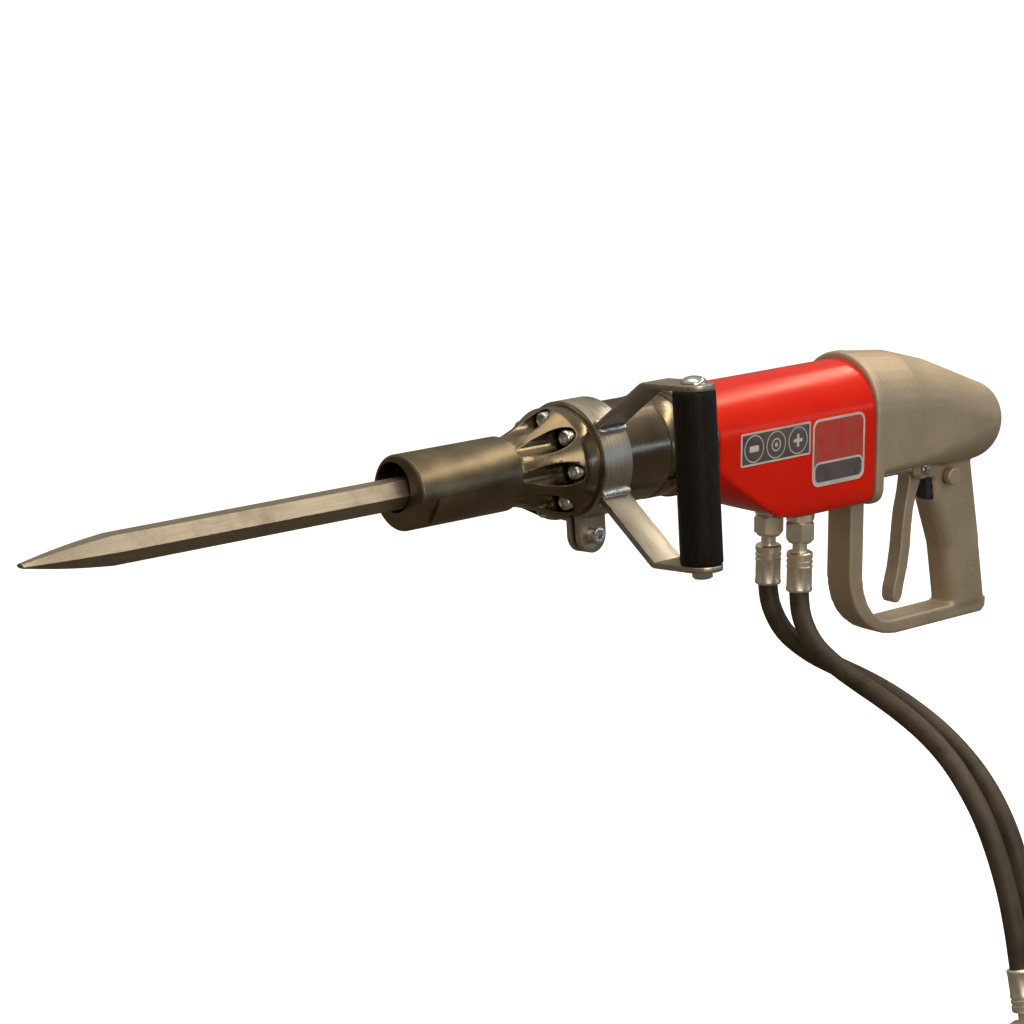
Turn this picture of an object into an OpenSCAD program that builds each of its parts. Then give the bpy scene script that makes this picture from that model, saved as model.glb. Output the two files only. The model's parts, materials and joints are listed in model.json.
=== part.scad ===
// Hand-held hydraulic breaker hammer with a D-handle, a clamped side handle and two tail hoses.
// The chisel points along -X, the operator stands at +X, the side handle is on the -Y side, +Z is up.
// Origin: centre of the rear hand grip. Stations along the tool axis are counted from the front
// face of the chisel retainer, heights from the tool axis; stage() moves them to the origin.

/* [Chisel] */
// hexagon of the chisel bar, across flats
hex_af = 22.2; // [19:0.1:28]
// length of chisel in front of the retainer
chisel_out = 350; // [200:5:450]
// length of the chisel's forged point
point_len = 76; // [50:1:100]
// length of the hexagonal shank behind the collar
shank_len = 82; // [50:1:110]

/* [Front end] */
// outer diameter of the retainer sleeve
sleeve_d = 60; // [54:1:66]
// length of the retainer sleeve
sleeve_len = 106; // [90:1:120]
// diameter of the flange at the wide end of the front head
flange_d = 90.6; // [86:0.2:96]
// number of head screws
head_screws_n = 8; // [6:2:10]

/* [Body] */
// diameter of the cylinder
cyl_d = 85; // [80:1:90]
// piston diameter
piston_d = 40; // [34:1:44]
// width of the valve housing
housing_w = 87; // [80:1:96]
// rear face of the valve housing, from the retainer's front face
housing_end = 500; // [470:5:520]

/* [Handles] */
// length of the side grip tube
side_grip_len = 137; // [110:1:160]
// diameter of the side grip tube
side_grip_d = 34; // [28:1:40]
// distance of the side grip from the tool axis
side_grip_y = 136; // [110:1:150]
// rear hand grip centre, behind the retainer's front face
grip_x = 665; // [620:5:700]
// height of the tool axis above the rear hand grip's centre
axis_z = 140; // [120:1:160]

/* [Hoses] */
// outer diameter of the hose
hose_d = 17; // [15:0.1:22]
// outer diameter of the crimped ferrule
ferrule_d = 22.6; // [20:0.1:27]

/* [Hidden] */
e = 0.01;
tilt = 4.6;                       // side handle as set: turned up about the tool axis
port_x = 435;                     // station of both hose ports
port_y = 18.3;                     // half the distance between the ports
af = hex_af / cos(30);            // hexagon across corners
pivot = [597, -66];               // trigger pivot, station and height
hr = hose_d / 2;
// routes of the two hoses, station, y and height
route_a = [[435, 18.3, -148], [434.3, 12.5, -168], [435, -3, -187], [441, -25, -201], [448, -50, -210],
           [453, -78, -217], [456, -106, -225], [456, -134, -234], [455, -162, -245],
           [453, -189, -259], [451, -214, -277], [449, -235, -299], [448, -251, -325],
           [447, -262, -353], [446, -269, -383]];
route_b = [[435, -18.3, -148], [431, -26, -169], [428, -43, -188], [430, -64, -202], [432, -90, -213],
           [432, -118, -222], [430, -146, -231], [426, -174, -241], [420, -201, -253],
           [413, -227, -269], [407, -250, -289], [402, -269, -313], [399, -284, -341],
           [397, -295, -371], [396, -303, -402]];

$fn = 48;

// moves station coordinates to the origin at the rear grip
module stage() { translate([-grip_x, 0, axis_z]) children(); }
// child's Z runs along the tool axis from station x
module at_axis(x) { stage() translate([x, 0, 0]) rotate([0, 90, 0]) children(); }
// a ring along the tool axis
module ring(x, len, ro, ri) {
  at_axis(x) difference() {
    cylinder(h = len, r = ro);
    translate([0, 0, -1]) cylinder(h = len + 2, r = ri);
  }
}
// a hexagonal bar with its flats up and down
module hexbar(len, across) { rotate(30) cylinder(h = len, d = across / cos(30), $fn = 6); }
// child's Z points down from height z at the hose port at side s
module at_port(s, z) { stage() translate([port_x, s * port_y, z]) rotate([180, 0, 0]) children(); }
// side handle frame: U away from the tool axis, W up, origin on the axis at station 189.5
module side() { stage() translate([189.5, 0, 0]) rotate([-tilt, 0, 0]) rotate([0, 0, 180]) children(); }

// sweep of a round tube along points
function unit(v) = v / norm(v);
function cr(p, i, t) = let (a = p[max(i - 1, 0)], b = p[i], c = p[i + 1], d = p[min(i + 2, len(p) - 1)])
  0.5 * ((2 * b) + (c - a) * t + (2 * a - 5 * b + 4 * c - d) * t * t + (3 * b - a - 3 * c + d) * t * t * t);
function tangent(p, i) = unit(p[min(i + 1, len(p) - 1)] - p[max(i - 1, 0)]);
function ring_pts(c, t, r, n) = let (u = unit(cross(t, [1, 0, 0])), v = cross(t, u))
  [for (k = [0 : n - 1]) c + r * (u * cos(360 * k / n) + v * sin(360 * k / n))];
module tube(p, r, first, last) {
  n = 12;
  m = len(p);
  pts = [for (i = [0 : m - 1]) each ring_pts(p[i], i == 0 ? first : i == m - 1 ? last : tangent(p, i), r, n)];
  sides = [for (i = [0 : m - 2]) for (k = [0 : n - 1])
    [i * n + k, (i + 1) * n + k, (i + 1) * n + (k + 1) % n, i * n + (k + 1) % n]];
  caps = [[for (k = [0 : n - 1]) k], [for (k = [n - 1 : -1 : 0]) (m - 1) * n + k]];
  polyhedron(points = pts, faces = concat(sides, caps), convexity = 6);
}

// ---- chisel and retainer ----
module chisel() {
  color("#8f877c") {
    hull() {
      at_axis(-chisel_out + point_len) hexbar(0.6, hex_af - 0.02);
      at_axis(-chisel_out) translate([-1.2, -4, 0]) cube([2.4, 8, 0.5]);
    }
    at_axis(-chisel_out + point_len) hexbar(chisel_out - point_len + 49.7 + shank_len - 3, hex_af);
    at_axis(49.7 + shank_len - 3.5) rotate(30) cylinder(h = 3.5, d1 = af - 0.04, d2 = af - 4, $fn = 6);
    at_axis(37.7) translate([3.4, -5.8, 0]) cylinder(h = 12, r = 18.5);
  }
}

module retainer_sleeve() {
  color("#2e2926") at_axis(0) difference() {
    union() {
      cylinder(h = 1.5, r1 = sleeve_d / 2 - 1.5, r2 = sleeve_d / 2);
      translate([0, 0, 1.5]) cylinder(h = sleeve_len - 4.5, r = sleeve_d / 2);
      translate([0, 0, sleeve_len - 3]) cylinder(h = 3, r1 = sleeve_d / 2, r2 = sleeve_d / 2 - 3);
    }
    translate([-3.4, 5.8, -1]) cylinder(h = 20, r = 20);
    translate([0, 0, 14]) cylinder(h = 36, r = 25.6);
    translate([0, 0, 49]) cylinder(h = 60, r = 24.56);
    rotate(299) translate([27, -30, -1]) cube([10, 60, 17]);
    // groove of the retaining ring
    translate([0, 0, 88]) cylinder(h = 2.4, r = 25.8);
  }
}

module retainer_ring() {
  color("#8d8a84") ring(88.1, 2.2, 25.5, 23.1);
}

module retainer_oring() {
  color("#1c1c1e") ring(68.1, 2.8, 24.5, 22.5);
}

module chisel_bush() {
  color("#6d6a66") at_axis(52) difference() {
    cylinder(h = 76, r = 17);
    translate([0, 0, -1]) hexbar(78, hex_af + 0.5);
  }
}

// ---- front head ----
module front_head() {
  color("#2b2724") at_axis(50) difference() {
    rotate_extrude() polygon([[0, 0], [23.5, 0], [24.5, 1], [24.5, 18],
      [22.4, 18], [22.4, 21], [24.5, 21], [24.5, 38], [23, 38], [23, 40.4], [24.5, 40.4], [24.5, 56.5], [27, 56.5], [28.9, 68],
      [33.7, 83], [41, 99], [44.4, 106], [45.3, 108], [45.3, 121], [44.3, 122], [0, 122]]);
    translate([0, 0, -1]) cylinder(h = 79, r = 17);
    translate([0, 0, 77]) cylinder(h = 50, r = 20);
    for (i = [0 : head_screws_n - 1]) rotate(i * 360 / head_screws_n) {
      translate([35.6, 0, 54]) cylinder(h = 53.5, r = 9.3);
      translate([36.5, 0, 100]) cylinder(h = 30, r = 4.2);
    }
  }
}

module head_screws() {
  color("#c9c5bb") for (i = [0 : head_screws_n - 1]) at_axis(149.5) rotate(i * 360 / head_screws_n)
    translate([36.5, 0, 0]) difference() {
      union() {
        cylinder(h = 1, r1 = 5.6, r2 = 6.5);
        translate([0, 0, 1]) cylinder(h = 7, r = 6.5);
        translate([0, 0, 8]) cylinder(h = 39, r = 4);
      }
      translate([0, 0, -1]) cylinder(h = 5, d = 6.9, $fn = 6);
    }
}

module buffer_ring() {
  color("#3a3a3c") ring(128.3, 14, 19.8, 14.6);
}

// ---- cylinder and striking piston ----
module cylinder_body() {
  color("#2d2926") at_axis(172) difference() {
    union() {
      cylinder(h = 33.5, r = 43.5);
      translate([0, 0, 33.5]) cylinder(h = 49, r = cyl_d / 2);
      translate([0, 0, 82.5]) cylinder(h = 90, r = 35.8);
    }
    translate([0, 0, -1]) cylinder(h = 40, r = 13.06);
    translate([0, 0, -1]) cylinder(h = 13, r = 18);
    translate([0, 0, 31]) cylinder(h = 150, r = piston_d / 2 + 0.05);
    for (i = [0 : head_screws_n - 1]) rotate(i * 360 / head_screws_n)
      translate([36.5, 0, -1]) cylinder(h = 27, r = 4.05);
  }
}

module rod_seal() {
  color("#1d1d1f") ring(173, 10, 17.9, 13.1);
}

module piston() {
  color("#a8a59f") {
    at_axis(132.4) cylinder(h = 2, r1 = 11, r2 = 13);
    at_axis(134.4) cylinder(h = 72.6, r = 13);
    at_axis(207) cylinder(h = 84, r = piston_d / 2);
    at_axis(291) cylinder(h = 54, r = 12);
  }
}

module lock_ring() {
  color("#24211f") at_axis(254.8) difference() {
    union() {
      cylinder(h = 1, r1 = 42, r2 = 43);
      translate([0, 0, 1]) cylinder(h = 27.2, r = 43);
    }
    translate([0, 0, -1]) cylinder(h = 40, r = 36);
    for (i = [0, 2]) rotate(i * 90 + 115) translate([38.5, -4.5, -1]) cube([8, 9, 14]);
    translate([0, 0, 20]) difference() {
      cylinder(h = 2, r = 50);
      translate([0, 0, -1]) cylinder(h = 4, r = 41.6);
    }
  }
}

module collar_ring() {
  color("#1f1c1b") at_axis(283.3) difference() {
    union() {
      cylinder(h = 2, r1 = 43.4, r2 = 45.4);
      translate([0, 0, 2]) cylinder(h = 22, r = 45.4);
      translate([0, 0, 24]) cylinder(h = 2, r1 = 45.4, r2 = 43.4);
    }
    translate([0, 0, -1]) cylinder(h = 40, r = 36);
  }
}

// ---- valve housing ----
// section of the housing: round top about the tool axis, deep rounded bottom; local X is down
module body_section(w, bottom, rc) {
  hull() {
    circle(r = w / 2, $fn = 32);
    for (s = [-1, 1]) translate([bottom - rc, s * (w / 2 - rc)]) circle(r = rc, $fn = 32);
  }
}

module valve_housing() {
  color("#cc1f14") difference() {
    hull() {
      at_axis(310) cylinder(h = 1, r = housing_w / 2, $fn = 32);
      at_axis(362) linear_extrude(1) body_section(housing_w, 64, 26);
      at_axis(408) linear_extrude(housing_end - 408) body_section(housing_w, 78, 20);
    }
    at_axis(309) cylinder(h = 36, r = 35.85);
    at_axis(344) cylinder(h = 52, r = 24.05);
    at_axis(424) cylinder(h = 80, r = 31);
    at_axis(404) translate([46, 0, 0]) cylinder(h = 100, r = 6.05);
    for (s = [-1, 1]) at_port(s, -90) translate([0, 0, -32]) cylinder(h = 40, r = 7);
    stage() translate([port_x, -26, -52]) rotate([-90, 0, 0]) cylinder(h = 52, r = 3.5);
    for (a = [50, 130, 230, 310]) at_axis(470) rotate(a) translate([38.4, 0, 0]) cylinder(h = 40, r = 2.55);
  }
}

module valve_sleeve() {
  color("#8c8a86") ring(348, 40, 24, 13.5);
}

module accumulator_diaphragm() {
  color("#202022") at_axis(430) rotate_extrude() polygon([[0, 30], [12, 29], [22, 22], [26, 8], [26, 3],
    [30.8, 3], [30.8, 0], [23, 0], [23, 8], [19, 20], [10, 26], [0, 27]]);
}

module accumulator_cap() {
  color("#9c9a95") at_axis(480) difference() {
    cylinder(h = 19.6, r = 30.8);
    translate([0, 0, 12]) cylinder(h = 10, d = 14, $fn = 6);
  }
}

// ---- throttle ----
module throttle_spool() {
  color("#9a9892") {
    at_axis(420) translate([46, 0, 0]) cylinder(h = 10, r = 6);
    at_axis(430) translate([46, 0, 0]) cylinder(h = 12, r = 3.6);
    at_axis(442) translate([46, 0, 0]) cylinder(h = 30, r = 6);
    at_axis(472) translate([46, 0, 0]) cylinder(h = 118.4, r = 3.5);
  }
}

module throttle_spring() {
  color("#8f8d88") at_axis(404.2) translate([46, 0, 0]) difference() {
    cylinder(h = 15.6, r = 5.4);
    translate([0, 0, -1]) cylinder(h = 20, r = 4.2);
  }
}

module valve_cover() {
  color("#b9b3a2") stage() translate([511, -37, -58.4]) difference() {
    cube([46, 74, 3]);
    translate([-1, 22.6, -1]) cube([12.6, 28.8, 6]);
    for (y = [6, 68]) translate([38, y, -1]) cylinder(h = 6, r = 2.6);
  }
}

module cover_screw() {
  color("#d0cabc") for (y = [-31, 31]) stage() translate([549, y, -61.2]) {
    cylinder(h = 2.8, r1 = 3.4, r2 = 4.4);
    translate([0, 0, 2.8]) cylinder(h = 12, r = 2.5);
  }
}

// ---- rear handle casting ----
// side outline of the D-handle, station and height; its rear side runs inside the hand grip
d_outer = [[504.5, -60], [504.5, -150], [506.5, -162], [510.5, -174], [517, -184.5], [527, -194.5], [539, -202.5],
  [552, -207.8], [566, -210], [684, -210], [689, -206], [690, -197.5], [676, -196], [668, -150],
  [656, -110], [650, -84], [650, -40], [515, -40]];
d_inner = [[522, -54], [522, -152], [524, -164], [529, -176], [537, -186.5], [548, -194], [562, -197],
  [660, -197], [654, -150], [644, -110], [636, -84], [626, -76], [610, -76], [604, -74], [590, -74],
  [586, -70], [584, -54]];

module d_plate(w, pts) {
  stage() rotate([90, 0, 0]) translate([0, 0, -w / 2]) linear_extrude(w) polygon(pts);
}

// rounded section of the hand grip at height z
module grip_section(z, x, hx, hy) {
  stage() translate([x, 0, z]) linear_extrude(1) offset(r = 11, $fn = 28)
    square([2 * (hx - 11), 2 * (hy - 11)], center = true);
}

module rear_handle() {
  color("#9b9182") difference() {
    union() {
      // collar that carries the valve housing
      at_axis(housing_end + 0.2) linear_extrude(9.8) translate([-3, 0]) body_section(93, 83, 14);
      difference() {
        hull() {
          at_axis(506) linear_extrude(1) translate([-3, 0]) body_section(92.6, 58.3, 8);
          at_axis(556) linear_extrude(1) body_section(88, 55.3, 8);
          at_axis(602) linear_extrude(1) translate([7, 0]) body_section(77, 41, 14);
          stage() translate([669.5, 0, -33]) scale([1, 0.84, 1]) sphere(r = 36, $fn = 32);
        }
        // flat underside that the cover plate lies against
        d_plate(120, [[503, -55.4], [562, -55.4], [604, -59.4], [644, -70.6], [644, -90], [503, -90]]);
      }
      difference() {
        d_plate(28, d_outer);
        d_plate(40, d_inner);
      }
      // hand grip
      hull() {
        grip_section(-40, 634, 28, 15);
        grip_section(-98, 641, 27, 15);
        grip_section(-142, 656.6, 25.4, 15);
      }
      hull() {
        grip_section(-140.6, 656.2, 25.2, 14.9);
        grip_section(-198.4, 666.4, 25, 14.9);
      }
      // lugs of the trigger pivot
      stage() rotate([90, 0, 0]) translate([0, 0, -17]) linear_extrude(34)
        polygon([[590, -40], [588, -60], [589.5, -70], [594, -74.4], [600, -74.4], [604.5, -70], [606, -60], [606, -40]]);
    }
    // trigger slot
    d_plate(19.6, [[583, -36], [583, -97], [622, -97], [622, -36]]);
    stage() translate([pivot[0], 25, pivot[1]]) rotate([90, 0, 0]) cylinder(h = 50, r = 3.05);
    stage() translate([630, 25, -76]) rotate([90, 0, 0]) cylinder(h = 50, r = 6);
    at_axis(499) translate([46, 0, 0]) cylinder(h = 100, r = 4);
    for (y = [-31, 31]) stage() translate([549, y, -60]) cylinder(h = 16, r = 2.55);
    // screw seats inside the collar
    for (a = [50, 130, 230, 310]) at_axis(499) rotate(a) translate([38.4, 0, 0]) cylinder(h = 34, r = 2.7);
    // recess for the accumulator cap
    at_axis(499) cylinder(h = 22, r = 28);
  }
}

module handle_screws() {
  color("#8f8c86") for (a = [50, 130, 230, 310]) at_axis(472) rotate(a) translate([38.4, 0, 0]) cylinder(h = 60, r = 2.5);
}

module trigger() {
  color("#a19786") difference() {
    union() {
      stage() rotate([90, 0, 0]) translate([0, 0, -7.4]) linear_extrude(14.8) offset(r = 2, $fn = 16) offset(delta = -2)
        polygon([[589, -62], [588, -72], [586, -86], [582, -102], [580, -118], [578.5, -136], [575.5, -154],
          [570.5, -171], [570, -180], [573, -185], [578, -185], [582, -180], [584, -170], [588.5, -154],
          [591.5, -136], [592.5, -118], [594.5, -102], [598.5, -88], [604, -76], [606, -66], [603, -58],
          [600.5, -52], [600.5, -41], [591, -41], [591, -56]]);
    }
    stage() translate([pivot[0], 25, pivot[1]]) rotate([90, 0, 0]) cylinder(h = 50, r = 3.06);
  }
}

module stop_pad() {
  color("#171717") stage() translate([607.8, -9.7, -95]) cube([14.2, 19.4, 24]);
}

module trigger_pin() {
  color("#b7b0a2") stage() translate([pivot[0], 0, pivot[1]]) rotate([90, 0, 0]) {
    translate([0, 0, -17]) cylinder(h = 38, r = 3);
    translate([0, 0, -20]) cylinder(h = 3, r = 4.6);
  }
}

module trigger_clip() {
  color("#c2bcae") stage() translate([pivot[0], -17, pivot[1]]) rotate([90, 0, 0]) difference() {
    cylinder(h = 1.4, r = 5.2);
    translate([0, 0, -1]) cylinder(h = 4, r = 3);
    translate([-1.2, -9, -1]) cube([2.4, 9, 4]);
  }
}

module grip_pin() {
  color("#a39a8b") stage() translate([630, 0, -76]) rotate([90, 0, 0]) {
    translate([0, 0, -17]) cylinder(h = 34.4, r = 6);
    translate([0, 0, 17.4]) cylinder(h = 5, r = 8);
    translate([0, 0, 22.4]) cylinder(h = 1, r1 = 8, r2 = 7);
    translate([0, 0, -22.4]) cylinder(h = 5.4, r = 8);
  }
}

// ---- side handle ----
module clamp_band() {
  color("#b5b2aa") difference() {
    union() {
      at_axis(174.5) difference() {
        cylinder(h = 30, r = 48.6);
        translate([0, 0, -1]) cylinder(h = 32, r = 43.55);
      }
      for (u = [1.5, 11.5]) side() translate([0, u, 0]) rotate([90, 0, 0]) {
        translate([0, -61, -2.5]) cylinder(h = 5, r = 14.5);
        translate([-14.5, -61, -2.5]) cube([29, 17.6, 5]);
      }
    }
    side() translate([-20, 4, -80]) cube([40, 5, 60]);
    at_axis(174) cylinder(h = 31, r = 43.55);
    side() translate([0, -20, -61]) rotate([-90, 0, 0]) cylinder(h = 50, r = 4.2);
  }
}

// bracket arm: plate outline in the U-W plane, 30 wide along the tool axis
module arm(pts) { side() rotate([90, 0, 90]) translate([0, 0, -15]) linear_extrude(30) polygon(pts); }

module bracket_upper() {
  color("#b9b6ae") difference() {
    union() {
      arm([[37.5, 32], [90.5, 67.8], [94, 69], [138, 69], [138, 64], [93.8, 64], [40.3, 27.85]]);
      side() translate([0, 138, 64]) cylinder(h = 5, r = 15);
    }
    side() translate([0, side_grip_y, 60]) cylinder(h = 12, r = 5.1);
  }
}

module bracket_lower() {
  color("#b9b6ae") difference() {
    union() {
      arm([[41.8, -25], [98.5, -73], [138, -73], [138, -78], [97, -78], [94, -77], [38.4, -30]]);
      side() translate([0, 138, -78]) cylinder(h = 5, r = 15);
    }
    side() translate([0, side_grip_y, -82]) cylinder(h = 12, r = 5.1);
  }
}

module weld_beads() {
  color("#cfd3d8") {
    side() translate([-14, 42.6, 26.6]) rotate([0, 90, 0]) cylinder(h = 28, r = 2.6, $fn = 16);
    side() translate([-14, 43.4, -24]) rotate([0, 90, 0]) cylinder(h = 28, r = 2.6, $fn = 16);
    side() translate([-14, 38, 33]) rotate([0, 90, 0]) cylinder(h = 28, r = 2.2, $fn = 16);
    side() translate([-14, 38.5, -31.6]) rotate([0, 90, 0]) cylinder(h = 28, r = 2.2, $fn = 16);
  }
}

module clamp_screw() {
  color("#c8c4ba") side() translate([0, 14, -61]) rotate([-90, 0, 0]) difference() {
    union() {
      cylinder(h = 8, r = 6.5);
      translate([0, 0, -22]) cylinder(h = 22, r = 4);
    }
    translate([0, 0, 4]) cylinder(h = 5, d = 6.9, $fn = 6);
  }
}

module clamp_nut() {
  color("#bdb9af") side() translate([0, -7.6, -61]) rotate([-90, 0, 0]) difference() {
    cylinder(h = 6.5, d = 15, $fn = 6);
    translate([0, 0, -1]) cylinder(h = 9, r = 4.02);
  }
}

module side_grip() {
  color("#1b1a19") side() translate([0, side_grip_y, 64 - side_grip_len + 0.05]) difference() {
    cylinder(h = side_grip_len - 0.1, r = side_grip_d / 2);
    translate([0, 0, -1]) cylinder(h = side_grip_len + 2, r = 5.3);
  }
}

module grip_bolt() {
  color("#cbc9c4") side() translate([0, side_grip_y, 69]) {
    translate([0, 0, -153]) cylinder(h = 153, r = 5);
    rotate_extrude() polygon([[0, 0], [10.5, 0], [10.5, 1.4], [9.4, 3.2], [7, 4.8], [4, 5.7], [0, 6]]);
  }
}

module grip_nut() {
  color("#c4c1ba") side() translate([0, side_grip_y, -84.4]) difference() {
    union() {
      translate([0, 0, 5.2]) cylinder(h = 1.2, r = 9.4);
      translate([0, 0, 1]) cylinder(h = 4.2, d = 17, $fn = 6);
      cylinder(h = 1, r1 = 6.4, r2 = 7.3);
    }
    translate([0, 0, -1]) cylinder(h = 12, r = 5.02);
  }
}

// ---- labels on the housing ----
module decal_strip() {
  color("#33333b") stage() translate([334, -housing_w / 2 - 0.5, -22]) cube([84, 0.6, 28]);
}

module decal_badge() {
  color("#b3160f") stage() translate([421, -housing_w / 2 - 0.5, -52]) cube([65, 0.6, 58]);
}

// ---- hose fittings ----
module port_adapters() {
  color("#c6bd9f") for (s = [-1, 1]) {
    at_port(s, -60) cylinder(h = 18.2, r = 6.98);
    at_port(s, -78.2) cylinder(h = 8, d = 25.4, $fn = 6);
    at_port(s, -86.2) cylinder(h = 9, r = 8.3);
  }
}

module swivel_nuts() {
  color("#cbc4b2") for (s = [-1, 1]) at_port(s, -87) difference() {
    union() {
      cylinder(h = 2, r1 = 11.2, r2 = 12.7);
      translate([0, 0, 2]) cylinder(h = 14, d = 26.4, $fn = 6);
      translate([0, 0, 16]) cylinder(h = 2.6, r1 = 12, r2 = 9.6);
    }
    translate([0, 0, -1]) cylinder(h = 14.4, r = 8.4);
    translate([0, 0, 8]) cylinder(h = 14, r = 6.4);
  }
}

module hose_stems() {
  color("#bcb6a8") for (s = [-1, 1]) {
    at_port(s, -95.4) cylinder(h = 4.6, r = 8.2);
    at_port(s, -100) cylinder(h = 13.6, r = 6.3);
  }
}

module hose_ferrules() {
  color("#c0baab") for (s = [-1, 1]) at_port(s, -112.8) difference() {
    union() {
      cylinder(h = 1.6, r1 = ferrule_d / 2 - 1.6, r2 = ferrule_d / 2);
      translate([0, 0, 1.6]) cylinder(h = 32, r = ferrule_d / 2);
      translate([0, 0, 33.6]) cylinder(h = 1.6, r1 = ferrule_d / 2, r2 = ferrule_d / 2 - 1);
    }
    for (z = [6, 10.5]) translate([0, 0, z]) difference() {
      cylinder(h = 1.4, r = 20);
      translate([0, 0, -1]) cylinder(h = 4, r = ferrule_d / 2 - 0.8);
    }
  }
}

module hose_a() { color("#1c1a17") stage() tube(route_a, hr, [0, 0, -1], dir_a); }
module hose_b() { color("#1c1a17") stage() tube(route_b, hr, [0, 0, -1], dir_b); }

dir_a = unit(route_a[14] - route_a[13]);
dir_b = unit(route_b[14] - route_b[13]);
// child's Z runs on from the far end of a hose
module at_end(p, d) {
  stage() translate(p[14]) rotate([0, acos(d[2]), atan2(d[1], d[0])]) children();
}

module end_ferrule() {
  difference() {
    union() {
      cylinder(h = 1, r1 = ferrule_d / 2 - 1, r2 = ferrule_d / 2);
      translate([0, 0, 1]) cylinder(h = 32.4, r = ferrule_d / 2);
      translate([0, 0, 33.4]) cylinder(h = 1.6, r1 = ferrule_d / 2, r2 = ferrule_d / 2 - 1.6);
      translate([0, 0, 35]) cylinder(h = 8, r = 7);
    }
    for (z = [23, 27.5]) translate([0, 0, z]) difference() {
      cylinder(h = 1.4, r = 20);
      translate([0, 0, -1]) cylinder(h = 4, r = ferrule_d / 2 - 0.8);
    }
  }
}

module end_ferrule_a() {
  color("#c0baab") at_end(route_a, dir_a) end_ferrule();
}

module end_ferrule_b() {
  color("#c0baab") at_end(route_b, dir_b) end_ferrule();
}

module coupler_male() {
  color("#c3c0b8") at_end(route_a, dir_a) translate([0, 0, 43]) difference() {
    union() {
      cylinder(h = 16, d = 31, $fn = 6);
      translate([0, 0, 16]) cylinder(h = 4, r = 13);
      translate([0, 0, 20]) cylinder(h = 20, r = 11.8);
      translate([0, 0, 40]) cylinder(h = 5, r = 10.2);
      translate([0, 0, 45]) cylinder(h = 7, r = 11.8);
    }
    translate([0, 0, 46]) cylinder(h = 8, r = 9.4);
  }
}

module coupler_female() {
  color("#c3c0b8") at_end(route_b, dir_b) translate([0, 0, 43]) difference() {
    union() {
      cylinder(h = 16, d = 31, $fn = 6);
      translate([0, 0, 16]) cylinder(h = 3, r = 16.5);
      translate([0, 0, 19]) cylinder(h = 35, r = 14.8);
    }
    translate([0, 0, 30]) cylinder(h = 26, r = 12);
  }
}

module coupler_sleeve() {
  color("#b4b1a8") at_end(route_b, dir_b) translate([0, 0, 70]) difference() {
    union() {
      cylinder(h = 24, r = 17.6);
      translate([0, 0, 3]) cylinder(h = 4, r = 18.4);
      translate([0, 0, 17]) cylinder(h = 4, r = 18.4);
    }
    translate([0, 0, -1]) cylinder(h = 26, r = 14.86);
  }
}

chisel();
retainer_sleeve();
retainer_ring();
retainer_oring();
chisel_bush();
front_head();
head_screws();
buffer_ring();
cylinder_body();  // cylinder
rod_seal();
piston();
lock_ring();
collar_ring();
valve_housing();
valve_sleeve();
accumulator_diaphragm();
accumulator_cap();
throttle_spool();
throttle_spring();
valve_cover();
cover_screw();
rear_handle();
handle_screws();
trigger();
stop_pad();
trigger_pin();
trigger_clip();
grip_pin();
clamp_band();
bracket_upper();
bracket_lower();
weld_beads();
clamp_screw();
clamp_nut();
side_grip();
grip_bolt();
grip_nut();
decal_strip();
decal_badge();
port_adapters();
swivel_nuts();
hose_stems();
hose_ferrules();
hose_a();
hose_b();
end_ferrule_a();
end_ferrule_b();
coupler_male();
coupler_female();
coupler_sleeve();
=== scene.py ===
"""Hand-held hydraulic breaker hammer: pieces, finishes, light and camera, in metres.

Stations run along the tool axis from the front rim of the chisel retainer, heights from the tool
axis, as in the part's source; at() turns them into the row frame, whose origin is the rear grip.
"""

import json
import math

import bmesh
import bpy
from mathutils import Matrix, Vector


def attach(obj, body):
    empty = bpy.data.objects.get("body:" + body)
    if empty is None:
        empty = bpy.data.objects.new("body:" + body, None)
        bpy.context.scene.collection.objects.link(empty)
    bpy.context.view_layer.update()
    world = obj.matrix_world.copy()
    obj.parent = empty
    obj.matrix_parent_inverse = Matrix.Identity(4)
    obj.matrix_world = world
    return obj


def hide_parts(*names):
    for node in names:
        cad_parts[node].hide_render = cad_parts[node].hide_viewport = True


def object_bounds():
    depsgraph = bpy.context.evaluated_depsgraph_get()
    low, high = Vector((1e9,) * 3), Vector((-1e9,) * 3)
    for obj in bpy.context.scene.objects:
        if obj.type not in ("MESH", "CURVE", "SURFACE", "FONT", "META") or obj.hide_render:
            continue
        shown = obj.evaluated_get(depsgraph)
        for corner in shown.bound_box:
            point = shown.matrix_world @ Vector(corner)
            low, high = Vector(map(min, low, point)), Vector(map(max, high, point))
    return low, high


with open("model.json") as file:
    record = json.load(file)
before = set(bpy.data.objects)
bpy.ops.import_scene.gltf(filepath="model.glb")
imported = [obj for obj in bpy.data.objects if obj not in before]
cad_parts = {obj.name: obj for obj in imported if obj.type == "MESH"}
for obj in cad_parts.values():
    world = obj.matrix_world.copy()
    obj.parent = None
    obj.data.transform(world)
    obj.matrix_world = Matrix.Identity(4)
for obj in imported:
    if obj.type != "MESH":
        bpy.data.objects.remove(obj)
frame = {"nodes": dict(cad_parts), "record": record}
cad_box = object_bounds()
nodes = frame["nodes"]
body_of = {n: body for body, names in frame["record"]["behaviour"]["bodies"].items() for n in names}

MM = 0.001
GRIP_X = 665.0
AXIS_Z = 140.0
TILT = math.radians(4.6)
SIDE_X = 189.5
PORT_X, PORT_Y = 435.0, 18.3
HOSE_R = 8.5
GRIP_U = 136.0
CHISEL_FLATS = 22.2
CHISEL_TIP_X, POINT_LENGTH = -350, 76.0
HOUSING_R = 43.5
TAU = 2 * math.pi


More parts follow.
